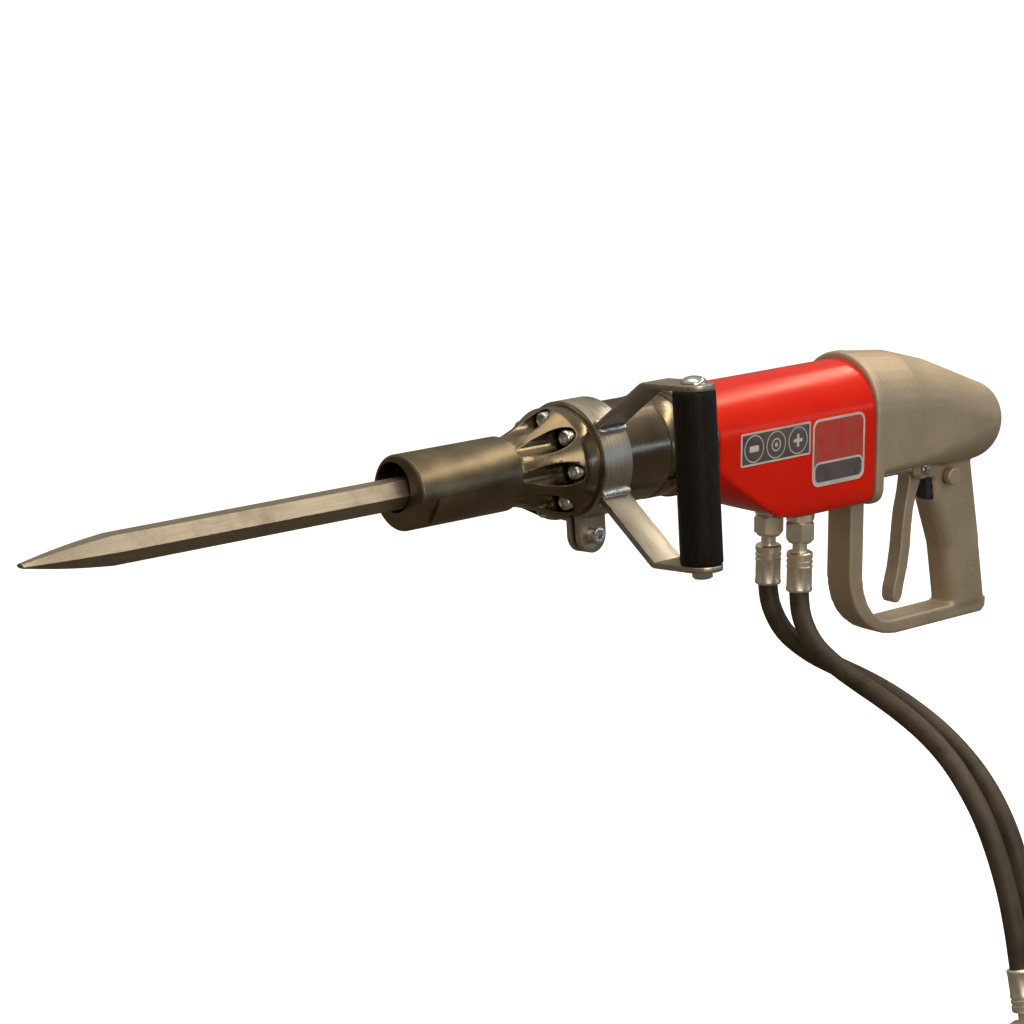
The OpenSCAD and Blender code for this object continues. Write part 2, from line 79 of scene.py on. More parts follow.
def at(x, y, z):
    """A point given by station, side and height in millimetres, in the row frame."""
    return Vector(((x - GRIP_X) * MM, y * MM, (z + AXIS_Z) * MM))


def side(x, u, w):
    """A point of the side handle: x along the tool from the clamp, u out from the axis, w up."""
    c, s = math.cos(TILT), math.sin(TILT)
    return at(SIDE_X + x, -u * c + w * s, u * s + w * c)


# ---- camera and light ----
def make_camera():
    yaw, pitch = math.radians(42.5521), math.radians(12.8435)
    look = Vector((math.sin(yaw) * math.cos(pitch), math.cos(yaw) * math.cos(pitch), -math.sin(pitch)))
    data = bpy.data.cameras.new("camera")
    data.sensor_width = 36
    data.lens = 123.05
    data.clip_end = 100
    camera = bpy.data.objects.new("camera", data)
    bpy.context.scene.collection.objects.link(camera)
    camera.location = (-2.37457, -1.99145, 0.72324)
    camera.rotation_mode = "QUATERNION"
    camera.rotation_quaternion = look.to_track_quat("-Z", "Y")
    bpy.context.scene.camera = camera


def softbox(name, place, aim, size, watts, colour=(1, 1, 1)):
    data = bpy.data.lights.new(name, "AREA")
    data.shape = "RECTANGLE"
    data.size, data.size_y = size
    data.energy = watts
    data.color = colour
    lamp = bpy.data.objects.new(name, data)
    bpy.context.scene.collection.objects.link(lamp)
    lamp.visible_camera = False
    lamp.location = place
    lamp.rotation_mode = "QUATERNION"
    lamp.rotation_quaternion = (Vector(aim) - Vector(place)).to_track_quat("-Z", "Y")


def light_the_studio():
    """A dim warm room with four softboxes; the camera itself sees a pale backdrop."""
    world = bpy.data.worlds.new("studio")
    bpy.context.scene.world = world
    world.use_nodes = True
    tree = world.node_tree
    back = tree.nodes["Background"]
    where = tree.nodes.new("ShaderNodeTexCoord")
    height = tree.nodes.new("ShaderNodeSeparateXYZ")
    ramp = tree.nodes.new("ShaderNodeValToRGB")
    shown = tree.nodes.new("ShaderNodeLightPath")
    pick = tree.nodes.new("ShaderNodeMix")
    shift = tree.nodes.new("ShaderNodeMapRange")
    pick.data_type = "RGBA"
    shift.inputs["From Min"].default_value = -1
    ramp.color_ramp.elements[0].color = (0.120, 0.092, 0.062, 1)
    ramp.color_ramp.elements[1].color = (0.62, 0.60, 0.57, 1)
    horizon = ramp.color_ramp.elements.new(0.5)
    horizon.color = (0.165, 0.140, 0.108, 1)
    pick.inputs[7].default_value = (0.93, 0.93, 0.93, 1)
    tree.links.new(where.outputs["Generated"], height.inputs["Vector"])
    tree.links.new(height.outputs["Z"], shift.inputs["Value"])
    tree.links.new(shift.outputs["Result"], ramp.inputs["Fac"])
    tree.links.new(ramp.outputs["Color"], pick.inputs[6])
    tree.links.new(shown.outputs["Is Camera Ray"], pick.inputs["Factor"])
    tree.links.new(pick.outputs[2], back.inputs["Color"])
    back.inputs["Strength"].default_value = 1.0
    middle = (-0.25, -0.02, 0.14)
    softbox("warm_strip", (0.75, -0.45, 1.40), (0.0, 0, 0.14), (2.8, 0.09), 15, (1.0, 0.90, 0.74))
    softbox("cool_strip", (0.95, -1.40, 0.32), (0.0, 0, 0.14), (2.2, 0.07), 3.2, (0.45, 0.70, 1.0))
    softbox("ceiling", (-0.5, 0.0, 2.3), middle, (2.2, 1.2), 19, (1.0, 0.86, 0.64))
    softbox("near_side", (-1.3, -2.3, 0.9), middle, (1.5, 1.0), 17, (1.0, 0.90, 0.74))
    bpy.context.scene.view_settings.view_transform = "Standard"


def lay_floor(height):
    mesh = bpy.data.meshes.new("studio_floor")
    half = 14.0
    mesh.from_pydata([(-half, -half, height), (half, -half, height), (half, half, height), (-half, half, height)],
                     [], [(0, 1, 2, 3)])
    floor = bpy.data.objects.new("studio_floor", mesh)
    bpy.context.scene.collection.objects.link(floor)
    mat = bpy.data.materials.new("studio_paper")
    mat.use_nodes = True
    paint = mat.node_tree.nodes["Principled BSDF"]
    paint.inputs["Base Color"].default_value = (0.93, 0.93, 0.93, 1)
    paint.inputs["Roughness"].default_value = 0.9
    paint.inputs["Emission Color"].default_value = (1, 1, 1, 1)
    paint.inputs["Emission Strength"].default_value = 0.62
    mesh.materials.append(mat)
    floor.visible_glossy = False
    floor.visible_diffuse = False


# ---- finishes ----
class Finish:
    """A material whose nodes read Object coordinates, or an attribute of the piece."""

    def __init__(self, name):
        self.mat = bpy.data.materials.new(name)
        self.mat.use_nodes = True
        self.tree = self.mat.node_tree
        self.shader = self.tree.nodes["Principled BSDF"]
        self.where = self.add("ShaderNodeTexCoord").outputs["Object"]

    def add(self, kind, **settings):
        node = self.tree.nodes.new(kind)
        for key, value in settings.items():
            setattr(node, key, value)
        return node

    def link(self, a, b):
        self.tree.links.new(a, b)

    def set(self, **values):
        for key, value in values.items():
            self.shader.inputs[key.replace("_", " ").title().replace("Ior", "IOR")].default_value = value

    def stretched(self, scale, turn=(0, 0, 0)):
        mapping = self.add("ShaderNodeMapping")
        mapping.inputs["Scale"].default_value = scale
        mapping.inputs["Rotation"].default_value = turn
        self.link(self.where, mapping.inputs["Vector"])
        return mapping.outputs["Vector"]

    def noise(self, scale, detail=3.0, rough=0.55, where=None):
        node = self.add("ShaderNodeTexNoise")
        node.inputs["Scale"].default_value = scale
        node.inputs["Detail"].default_value = detail
        node.inputs["Roughness"].default_value = rough
        self.link(where or self.where, node.inputs["Vector"])
        return node.outputs["Fac"]

    def fit(self, value, low, high, to_low=0.0, to_high=1.0):
        node = self.add("ShaderNodeMapRange")
        for key, number in zip(("From Min", "From Max", "To Min", "To Max"), (low, high, to_low, to_high)):
            node.inputs[key].default_value = number
        self.link(value, node.inputs["Value"])
        return node.outputs["Result"]

    def blend(self, factor, a, b):
        node = self.add("ShaderNodeMix", data_type="RGBA")
        self.link(factor, node.inputs["Factor"])
        for socket, value in ((node.inputs[6], a), (node.inputs[7], b)):
            if isinstance(value, bpy.types.NodeSocket):
                self.link(value, socket)
            else:
                socket.default_value = (*value, 1)
        return node.outputs[2]

    def sum(self, a, b, share=1.0):
        node = self.add("ShaderNodeMath", operation="MULTIPLY_ADD")
        self.link(b, node.inputs[0])
        node.inputs[1].default_value = share
        self.link(a, node.inputs[2])
        return node.outputs[0]

    def colour(self, socket):
        self.link(socket, self.shader.inputs["Base Color"])

    def rough(self, socket):
        self.link(socket, self.shader.inputs["Roughness"])

    def relief(self, socket, depth, strength=1.0):
        bump = self.add("ShaderNodeBump")
        bump.inputs["Strength"].default_value = strength
        bump.inputs["Distance"].default_value = depth
        self.link(socket, bump.inputs["Height"])
        self.link(bump.outputs["Normal"], self.shader.inputs["Normal"])


def blued_steel(name, rough):
    """Black oxide over turned steel: warm black, faint turning marks across the tool axis."""
    f = Finish(name)
    f.set(metallic=1.0)
    cloud = f.noise(38, 4)
    lathe = f.noise(1.0, 2, where=f.stretched((1900, 60, 60)))
    f.colour(f.blend(f.fit(cloud, 0.3, 0.7), (0.150, 0.118, 0.076), (0.240, 0.190, 0.122)))
    f.rough(f.sum(f.fit(cloud, 0.3, 0.7, *rough), lathe, 0.06))
    f.relief(lathe, 0.00003, 0.5)
    return f.mat


def edge_steel():
    """Worn edge of a blackened part, where bare brown steel shows."""
    f = Finish("worn_edge")
    f.set(metallic=1.0)
    f.colour(f.blend(f.fit(f.noise(220, 3), 0.35, 0.65), (0.20, 0.155, 0.105), (0.36, 0.29, 0.20)))
    f.rough(f.fit(f.noise(90, 3), 0.3, 0.7, 0.24, 0.4))
    return f.mat


def bare_forging():
    """Chisel bar: warm grey drawn steel with long marks and a few scale stains."""
    f = Finish("chisel_steel")
    f.set(metallic=1.0)
    draw = f.noise(1.0, 3, where=f.stretched((22, 900, 900)))
    stain = f.noise(26, 5, 0.7)
    base = f.blend(f.fit(draw, 0.3, 0.7), (0.33, 0.285, 0.22), (0.42, 0.37, 0.295))
    f.colour(f.blend(f.fit(stain, 0.52, 0.78), base, (0.25, 0.205, 0.155)))
    f.rough(f.sum(f.fit(stain, 0.3, 0.7, 0.34, 0.46), draw, 0.08))
    f.relief(draw, 0.00005, 0.5)
    return f.mat


def rolled_plate():
    """Satin plate of the clamp and its arms."""
    f = Finish("rolled_plate")
    f.set(metallic=1.0)
    grain = f.noise(1.0, 3, where=f.stretched((1100, 40, 40), (0, 0, 0.05)))
    cloud = f.noise(30, 4, 0.6)
    base = f.blend(f.fit(cloud, 0.3, 0.7), (0.31, 0.275, 0.205), (0.41, 0.37, 0.29))
    f.colour(f.blend(f.fit(grain, 0.35, 0.75), base, (0.54, 0.50, 0.43)))
    f.rough(f.sum(f.fit(cloud, 0.3, 0.7, 0.30, 0.42), grain, 0.08))
    f.relief(grain, 0.00003, 0.45)
    return f.mat


def plate_edge():
    """Broken edge of a plate, a little brighter than its faces."""
    f = Finish("plate_edge")
    f.set(metallic=1.0)
    f.colour(f.blend(f.fit(f.noise(160, 3), 0.35, 0.65), (0.52, 0.50, 0.46), (0.70, 0.68, 0.63)))
    f.rough(f.fit(f.noise(120, 3), 0.3, 0.7, 0.26, 0.38))
    return f.mat


def weld_metal():
    """Bright bead with a blue heat tint in places."""
    f = Finish("weld_metal")
    f.set(metallic=1.0)
    heat = f.noise(150, 3)
    base = f.blend(f.fit(heat, 0.35, 0.7), (0.70, 0.71, 0.73), (0.50, 0.56, 0.66))
    f.colour(f.blend(f.fit(f.noise(320, 2), 0.55, 0.75), base, (0.50, 0.43, 0.33)))
    f.rough(f.fit(f.noise(500, 3), 0.3, 0.7, 0.2, 0.38))
    f.relief(f.noise(700, 3), 0.0001, 0.4)
    return f.mat


def bright_zinc(name, low, high, rough=(0.24, 0.36)):
    f = Finish(name)
    f.set(metallic=1.0)
    spangle = f.noise(170, 4, 0.6)
    f.colour(f.blend(f.fit(spangle, 0.3, 0.7), low, high))
    f.rough(f.fit(f.noise(90, 4), 0.3, 0.7, *rough))
    f.relief(f.noise(900, 2), 0.00002, 0.35)
    return f.mat


def ground_steel():
    f = Finish("ground_steel")
    f.set(metallic=1.0)
    grain = f.noise(1.0, 2, where=f.stretched((1500, 50, 50)))
    f.colour(f.blend(f.fit(grain, 0.3, 0.7), (0.50, 0.49, 0.47), (0.64, 0.63, 0.61)))
    f.rough(f.fit(f.noise(60, 3), 0.3, 0.7, 0.2, 0.3))
    f.relief(grain, 0.00002, 0.4)
    return f.mat


def rubber(name="seal_rubber"):
    f = Finish(name)
    f.set(specular_ior_level=0.35)
    f.colour(f.blend(f.fit(f.noise(80, 3), 0.3, 0.7), (0.022, 0.022, 0.024), (0.038, 0.038, 0.040)))
    f.rough(f.fit(f.noise(200, 3), 0.3, 0.7, 0.5, 0.68))
    f.relief(f.noise(1500, 3), 0.00003, 0.5)
    return f.mat


def red_enamel():
    """Wet-looking red enamel over a machined casting, with a trace of orange peel."""
    f = Finish("red_enamel")
    f.set(specular_ior_level=0.24)
    f.shader.inputs["Specular Tint"].default_value = (1.0, 0.62, 0.30, 1)
    cloud = f.noise(16, 3)
    f.colour(f.blend(f.fit(cloud, 0.2, 0.8), (0.68, 0.011, 0.006), (0.76, 0.020, 0.007)))
    f.rough(f.fit(cloud, 0.3, 0.7, 0.19, 0.26))
    f.relief(f.sum(f.noise(260, 2), f.noise(900, 2), 0.4), 0.00006, 0.35)
    return f.mat


def sand_casting():
    """Raw sand-cast aluminium: warm grey-brown, fine sand grain, edges rubbed lighter."""
    f = Finish("sand_casting")
    f.set(metallic=0.72)
    cloud = f.noise(24, 4, 0.6)
    sand = f.noise(1250, 4, 0.65)
    base = f.blend(f.fit(cloud, 0.3, 0.7), (0.40, 0.315, 0.225), (0.53, 0.43, 0.315))
    grain = f.blend(f.fit(sand, 0.42, 0.66), base, (0.60, 0.50, 0.375))
    rubbed = f.add("ShaderNodeAttribute", attribute_name="rubbed").outputs["Fac"]
    f.colour(f.blend(rubbed, grain, (0.70, 0.61, 0.48)))
    f.rough(f.sum(f.fit(cloud, 0.3, 0.7, 0.46, 0.56), sand, 0.1))
    f.relief(f.sum(sand, f.noise(330, 3), 0.8), 0.0003, 0.7)
    return f.mat


def moulded_grip():
    """Black moulded tube: matt, with fine flow lines along it."""
    f = Finish("moulded_grip")
    f.set(specular_ior_level=0.15)
    flow = f.noise(1.0, 3, where=f.stretched((900, 900, 26), (-TILT, 0, 0)))
    f.colour(f.blend(f.fit(flow, 0.3, 0.7), (0.006, 0.005, 0.004), (0.016, 0.013, 0.009)))
    f.rough(f.sum(f.fit(f.noise(60, 3), 0.3, 0.7, 0.34, 0.46), flow, 0.1))
    f.relief(f.sum(flow, f.noise(1400, 3), 0.6), 0.00005, 0.5)
    return f.mat


def hose_cover():
    """Hose cover with the cross-hatch that its wrapping tape leaves, read from the hose's UV map."""
    f = Finish("hose_cover")
    f.set(specular_ior_level=0.4)
    uv = f.add("ShaderNodeUVMap", uv_map="wrap").outputs["UV"]
    hatch = []
    for turn in (0.62, -0.62):
        mapping = f.add("ShaderNodeMapping")
        mapping.inputs["Rotation"].default_value = (0, 0, turn)
        f.link(uv, mapping.inputs["Vector"])
        wave = f.add("ShaderNodeTexWave", bands_direction="X", wave_profile="SIN")
        wave.inputs["Scale"].default_value = 260
        wave.inputs["Distortion"].default_value = 0.6
        f.link(mapping.outputs["Vector"], wave.inputs["Vector"])
        hatch.append(wave.outputs["Fac"])
    cloth = f.sum(hatch[0], hatch[1])
    dust = f.noise(45, 4, 0.6)
    f.colour(f.blend(f.fit(dust, 0.35, 0.75), (0.034, 0.024, 0.014), (0.086, 0.063, 0.038)))
    f.rough(f.fit(dust, 0.3, 0.7, 0.46, 0.62))
    f.relief(cloth, 0.00006, 0.4)
    return f.mat


def printed_film():
    """Printed label: its ink is the attribute of each face, under a clear film."""
    f = Finish("printed_film")
    f.set(coat_weight=0.4, coat_roughness=0.12)
    ink = f.add("ShaderNodeAttribute", attribute_name="ink").outputs["Color"]
    f.colour(f.blend(f.fit(f.noise(60, 3), 0.2, 1.4), ink, (0.20, 0.16, 0.15)))
    f.rough(f.fit(f.noise(120, 3), 0.3, 0.7, 0.26, 0.4))
    return f.mat


look = {
    "black_steel": blued_steel("black_oxide", (0.17, 0.25)),
    "black_satin": blued_steel("black_oxide_satin", (0.31, 0.40)),
    "edge": edge_steel(),
    "chisel": bare_forging(),
    "plate": rolled_plate(),
    "plate_edge": plate_edge(),
    "weld": weld_metal(),
    "zinc": bright_zinc("bright_zinc", (0.58, 0.56, 0.52), (0.76, 0.75, 0.72)),
    "fitting": bright_zinc("yellow_zinc", (0.82, 0.76, 0.62), (0.95, 0.90, 0.78), (0.32, 0.44)),
    "coupling": bright_zinc("coupling_zinc", (0.70, 0.68, 0.63), (0.84, 0.82, 0.78)),
    "stainless": bright_zinc("polished_stainless", (0.62, 0.61, 0.58), (0.74, 0.73, 0.70), (0.12, 0.2)),
    "machined_alu": bright_zinc("machined_alu", (0.52, 0.51, 0.49), (0.62, 0.61, 0.58), (0.3, 0.42)),
    "bush_steel": ground_steel(),
    "rubber": rubber(),
    "red_enamel": red_enamel(),
    "cast_alu": sand_casting(),
    "grip_plastic": moulded_grip(),
    "hose_rubber": hose_cover(),
    "label": printed_film(),
}
look["ground_steel"] = look["bush_steel"]
slot_of = {p["node"]: p["material_slot"] for p in frame["record"]["subparts"]}


# ---- making pieces ----
def piece(name, mesh, node, material, also=(), smooth=35):
    """An object that stands for CAD nodes and rides on their body."""
    obj = bpy.data.objects.new(name, mesh)
    bpy.context.scene.collection.objects.link(obj)
    if material and not mesh.materials:
        mesh.materials.append(look[material])
    if smooth:
        mesh.shade_smooth()
        sharpen(mesh, smooth)
    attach(obj, body_of[node])
    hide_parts(node, *also)
    return obj


def sharpen(mesh, degrees):
    bm = bmesh.new()
    bm.from_mesh(mesh)
    limit = math.radians(degrees)
    for edge in bm.edges:
        edge.smooth = len(edge.link_faces) == 2 and edge.calc_face_angle(0) < limit
    bm.to_mesh(mesh)
    bm.free()


def mesh_of(name, points, faces):
    mesh = bpy.data.meshes.new(name)
    mesh.from_pydata([tuple(p) for p in points], [], faces)
    mesh.update()
    return mesh


def flattened(obj, name):
    """The object's final mesh with its modifiers in it."""
    dg = bpy.context.evaluated_depsgraph_get()
    mesh = bpy.data.meshes.new_from_object(obj.evaluated_get(dg))
    mesh.name = name
    bpy.data.objects.remove(obj)
    return mesh


def merged_copy(node, dissolve=True):
    """A copy of a CAD node's mesh with its loose triangles joined up."""
    bm = bmesh.new()
    bm.from_mesh(nodes[node].data)
    bmesh.ops.remove_doubles(bm, verts=bm.verts, dist=2e-6)
    if dissolve:
        bmesh.ops.dissolve_limit(bm, angle_limit=math.radians(0.6), verts=bm.verts, edges=bm.edges)
    mesh = bpy.data.meshes.new(node)
    bm.to_mesh(mesh)
    bm.free()
    return mesh


def eased(node, width, edge=None, angle=28, finish=None):
    """The CAD node with its sharp edges broken to a small round, as a finished part has."""
    mesh = merged_copy(node)
    mesh.materials.clear()
    mesh.materials.append(look[finish or slot_of[node]])
    if edge:
        mesh.materials.append(look[edge])
    raw = bpy.data.objects.new(node + "_raw", mesh)
    bpy.context.scene.collection.objects.link(raw)
    bevel = raw.modifiers.new("ease", "BEVEL")
    bevel.width = width * MM
    bevel.segments = 2
    bevel.limit_method = "ANGLE"
    bevel.angle_limit = math.radians(angle)
    bevel.use_clamp_overlap = True
    bevel.miter_outer = "MITER_ARC"
    bevel.material = 1 if edge else -1
    done = flattened(raw, node + "_finished")
    return piece(node + "_finished", done, node, None, smooth=angle)


def shell_of_rings(rings, closed_ends=True, loop=False):
    """Points and quad faces of a skin over rings of equal count."""
    count = len(rings[0])
    points = [p for ring in rings for p in ring]
    faces = []
    spans = len(rings) if loop else len(rings) - 1
    for i in range(spans):
        j = (i + 1) % len(rings)
        for k in range(count):
            m = (k + 1) % count
            faces.append((i * count + k, i * count + m, j * count + m, j * count + k))
    if closed_ends and not loop:
        faces.append(tuple(range(count))[::-1])
        faces.append(tuple((len(rings) - 1) * count + k for k in range(count)))
    return points, faces


def outward(mesh, merge=True):
    """The same mesh with its faces turned outwards, its doubled points merged first if asked."""
    bm = bmesh.new()
    bm.from_mesh(mesh)
    if merge:
        bmesh.ops.remove_doubles(bm, verts=bm.verts, dist=1e-7)
    bmesh.ops.recalc_face_normals(bm, faces=bm.faces)
    bm.to_mesh(mesh)
    bm.free()
    return mesh


def hexagon(flats):
    """Radius of a hexagon, by direction."""
    return lambda a: flats / 2 / math.cos((a + math.pi / 6) % (math.pi / 3) - math.pi / 6)


def turned(place, rings, sides=72, bore=None):
    """Turned or hexagonal stock: rings of (height, radius or a function of direction), placed by place.
    bore is the same for the hole right through it."""
    made = []
    for height, radius in rings + list(reversed(bore or [])):
        grow = radius if callable(radius) else (lambda a, r=radius: r)
        made.append([place(grow(TAU * k / sides) * math.cos(TAU * k / sides),
                           grow(TAU * k / sides) * math.sin(TAU * k / sides), height) for k in range(sides)])
    return shell_of_rings(made, loop=bool(bore))


def joined(name, parts):
    points, faces = [], []
    for more, quads in parts:
        start = len(points)
        points += more
        faces += [tuple(start + i for i in f) for f in quads]
    return outward(mesh_of(name, points, faces))


def port_place(s):
    return lambda u, v, h: at(PORT_X + u, s * PORT_Y + v, -h)


def end_place(route):
    """Height runs on from the far end of a hose."""
    tip, before = Vector(route[-1]), Vector(route[-2])
    run = (tip - before).normalized()
    across = run.orthogonal().normalized()
    third = run.cross(across)
    return lambda u, v, h: at(*(tip + across * u + third * v + run * h))


# ---- hoses ----
ROUTE_A = [(435, 18.3, -148), (434.3, 12.5, -168), (435, -3, -187), (441, -25, -201), (448, -50, -210),
           (453, -78, -217), (456, -106, -225), (456, -134, -234), (455, -162, -245), (453, -189, -259),
           (451, -214, -277), (449, -235, -299), (448, -251, -325), (447, -262, -353), (446, -269, -383)]
ROUTE_B = [(435, -18.3, -148), (431, -26, -169), (428, -43, -188), (430, -64, -202), (432, -90, -213),
           (432, -118, -222), (430, -146, -231), (426, -174, -241), (420, -201, -253), (413, -227, -269),
           (407, -250, -289), (402, -269, -313), (399, -284, -341), (397, -295, -371), (396, -303, -402)]


def smooth_route(route, steps=6):
    """Points of a curve through the route, starting straight down out of its ferrule."""
    pts = [Vector(p) for p in route]
    first = pts[0] + Vector((0, 0, 20))
    last = pts[-1] * 2 - pts[-2]
    pts = [first] + pts + [last]
    line = []
    for i in range(1, len(pts) - 2):
        a, b, c, d = pts[i - 1:i + 3]
        for s in range(steps):
            t = s / steps
            line.append(0.5 * ((2 * b) + (c - a) * t + (2 * a - 5 * b + 4 * c - d) * t * t
                               + (3 * b - a - 3 * c + d) * t * t * t))
    line.append(pts[-2])
    return line


def make_hose(name, route, sides=32):
    line = smooth_route(route)
    world = [at(*p) for p in line]
    length = sum((b - a).length for a, b in zip(world, world[1:]))
    rings, along = [], [0.0]
    up = Vector((1, 0, 0))
    for i, p in enumerate(line):
        ahead = line[min(i + 1, len(line) - 1)] - line[max(i - 1, 0)]
        if i == 0:
            ahead = Vector((0, 0, -1))
        ahead.normalize()
        across = up.cross(ahead).normalized()
        up = ahead.cross(across)
        rings.append([at(*(p + HOSE_R * (across * math.cos(TAU * k / sides) + up * math.sin(TAU * k / sides))))
                      for k in range(sides)])
        if i:
            along.append(along[-1] + (world[i] - world[i - 1]).length)
    points, faces = shell_of_rings(rings)
    mesh = mesh_of(name, points, faces)
    wrap = mesh.uv_layers.new(name="wrap")
    girth = TAU * HOSE_R * MM
    for poly in mesh.polygons:
        quad = len(poly.vertices) == 4
        ks = [v % sides for v in poly.vertices]
        seam = quad and max(ks) == sides - 1 and min(ks) == 0
        for loop, vert in zip(poly.loop_indices, poly.vertices):
            k = vert % sides
            k = sides if seam and k == 0 else k
            wrap.data[loop].uv = (along[vert // sides], girth * k / sides)
    outward(mesh, merge=False)
    hose = piece(name, mesh, name[:6], "hose_rubber")
    return hose, world, length


def crimped_ferrule(place, start, flip=1, extra=()):
    """Ferrule shell pressed by eight dies: two grooves and long flats between them."""
    r = 11.3
    pressed = lambda depth: (lambda a: r - depth * (0.55 + 0.45 * math.cos(8 * a)))
    profile = [(0, 7.2), (0, r - 1.6), (0.5, r - 0.8), (1.6, r), (5.4, r), (6.0, r - 0.8), (7.4, r - 0.8), (8.0, r),
               (9.9, r), (10.5, r - 0.8), (11.9, r - 0.8), (12.5, r), (13.6, r), (14.6, pressed(0.55)),
               (23, pressed(0.5)), (31.4, pressed(0.5)), (32.4, r), (33.8, r), (34.7, r - 0.5), (35.2, r - 1.4),
               (35.2, 7.2)]
    rings = [(start + flip * h, radius) for h, radius in profile]
    return turned(place, rings + list(extra), sides=96)


def chamfered_hex(flats, h0, h1, chamfer, steps=5):
    """Rings of hexagonal stock whose ends are turned to a cone."""
    hexa = hexagon(flats)
    crown = flats / 2 / math.cos(math.pi / 6)
    rings = []
    for end, sign in ((h0, 1), (h1, -1)):
        part = []
        for i in range(steps + 1):
            t = i / steps
            cone = flats / 2 * 0.965 + (crown - flats / 2 * 0.965) * t
            part.append((end + sign * chamfer * t, lambda a, c=cone: min(hexa(a), c)))
        rings += part if sign == 1 else part[::-1]
    return rings


make_camera()
lay_floor(cad_box[0].z - 0.0005)

hose_a, path_a, length_a = make_hose("hose_a_tube", ROUTE_A)
hose_b, path_b, length_b = make_hose("hose_b_tube", ROUTE_B)

# far ends of the hoses
end_a, end_b = end_place(ROUTE_A), end_place(ROUTE_B)


def far_ferrule(name, node, place):
    shell = crimped_ferrule(place, 35.0, -1, [(0.0, 7.0)])
    neck = turned(place, [(34.6, 5.6), (35.2, 7.0), (42.6, 7.0), (43.0, 6.6)], 48)
    return piece(name, joined(name, [shell, neck]), node, "fitting")


ferrule_end_a = far_ferrule("end_ferrule_a_shell", "end_ferrule_a", end_a)
ferrule_end_b = far_ferrule("end_ferrule_b_shell", "end_ferrule_b", end_b)
coupling_a = eased("coupler_male", 0.5)
coupling_b = eased("coupler_female", 0.5)
coupling_ring = eased("coupler_sleeve", 0.6)

light_the_studio()


# ---- chisel ----
def make_chisel():
    """Hexagonal bar forged down to a flat point; its collar and shank are inside the retainer."""
    sides = 96
    crown = CHISEL_FLATS / 2 / math.cos(math.pi / 6)
    hexa = hexagon(CHISEL_FLATS)
    around = [TAU * k / sides for k in range(sides)]

    def bar(x, wide=1.0, high=1.0):
        return [at(x, wide * hexa(a + math.pi / 2) * math.cos(a), high * hexa(a + math.pi / 2) * math.sin(a))
                for a in around]

    rings = []
    for i in range(25):
        t = i / 24
        ease = t + 0.10 * math.sin(math.pi * t)
        half_w = 4.6 + (crown - 4.6) * ease
        half_h = 1.5 + (CHISEL_FLATS / 2 - 1.5) * ease
        rings.append(bar(CHISEL_TIP_X + POINT_LENGTH * t, half_w / crown, half_h / (CHISEL_FLATS / 2)))
    rings += [bar(x) for x in (-262, -200, -100, 0, 37.7)]
    for x in (37.7, 49.7):
        rings.append([at(x, -5.8 + 18.4 * math.cos(a), -3.4 + 18.4 * math.sin(a)) for a in around])
    rings += [bar(x, grow, grow) for x, grow in ((49.7, 1), (128.7, 1), (131.5, 0.86))]
    points, faces = shell_of_rings(rings)
    return piece("chisel_bar", outward(mesh_of("chisel_bar", points, faces)), "chisel", "chisel", smooth=24)


make_chisel()


# ---- valve housing ----
def housing_reach(x, a):
    """Radius of the housing's skin at station x in the direction a, counted from +Y towards +Z."""
    half, floor = HOUSING_R, 77.9
    c, s = abs(math.cos(a)), math.sin(a)
    if s >= 0:
        return half
    s = -s
    p = 13.0
    block = ((max(c, 1e-6) / half) ** p + (s / floor) ** p) ** (-1 / p)
    t = min(1.0, max(0.0, (x - 310) / 108))
    deep = half + 34.4 * (1 - (1 - t) ** 1.45)
    crease = 20 + 50 * min(1.2, (x - 310) / 70) ** 0.85
    wide = half / math.sqrt(max(1 - (crease / deep) ** 2, 0.004))
    bow = 1 / math.sqrt((c / wide) ** 2 + (s / deep) ** 2)
    soft = 2.2
    mix = max(soft - abs(block - bow), 0) / soft
    reach = min(block, bow) - mix * mix * soft / 4
    fade = min(1.0, s / 0.35)
    return half * (1 - fade) / max(c, 0.2) + reach * fade if fade < 1 and block < bow else reach


def make_housing():
    """Enamelled block, round above and deep below, bored for the cylinder and the reversing valve."""
    around = [TAU * k / 200 for k in range(200)]
    stations = [310.0, 310.6, 311.4] + [312.5 + 2.0 * i for i in range(92)] + [497.5, 499.2, 499.8, 500.0]
    skin = []
    for x in stations:
        pull = 1.2 * max(0, 1 - (x - 310) / 1.4) ** 2 + 0.8 * max(0, 1 - (500 - x) / 1.0) ** 2
        skin.append([at(x, (housing_reach(x, a) - pull) * math.cos(a), (housing_reach(x, a) - pull) * math.sin(a))
                     for a in around])
    bore = []
    for x, r in ((500, 31), (424, 31), (424, 24.05), (345, 24.05), (345, 35.85), (310, 35.85)):
        bore.append([at(x, r * math.cos(a), r * math.sin(a)) for a in around])
    points, faces = shell_of_rings(skin + bore, loop=True)
    return piece("valve_housing_enamelled", outward(mesh_of("valve_housing", points, faces)), "valve_housing",
                 "red_enamel", smooth=40)


make_housing()


# ---- rear handle casting ----
def rub_edges(mesh, gain):
    """Marks how far each point stands out over its neighbours, for the rubbed look of cast edges."""
    bm = bmesh.new()
    bm.from_mesh(mesh)
    out = []
    for v in bm.verts:
        around = [e.other_vert(v).co for e in v.link_edges]
        mean = sum(around, Vector()) / max(1, len(around))
        out.append(max(0.0, min(1.0, (v.co - mean).dot(v.normal) * gain)))
    for _ in range(2):
        out = [0.5 * out[v.index] + 0.5 * sum(out[e.other_vert(v).index] for e in v.link_edges)
               / max(1, len(v.link_edges)) for v in bm.verts]
    bm.free()
    mark = mesh.attributes.new("rubbed", "FLOAT", "POINT")
    mark.data.foreach_set("value", out)


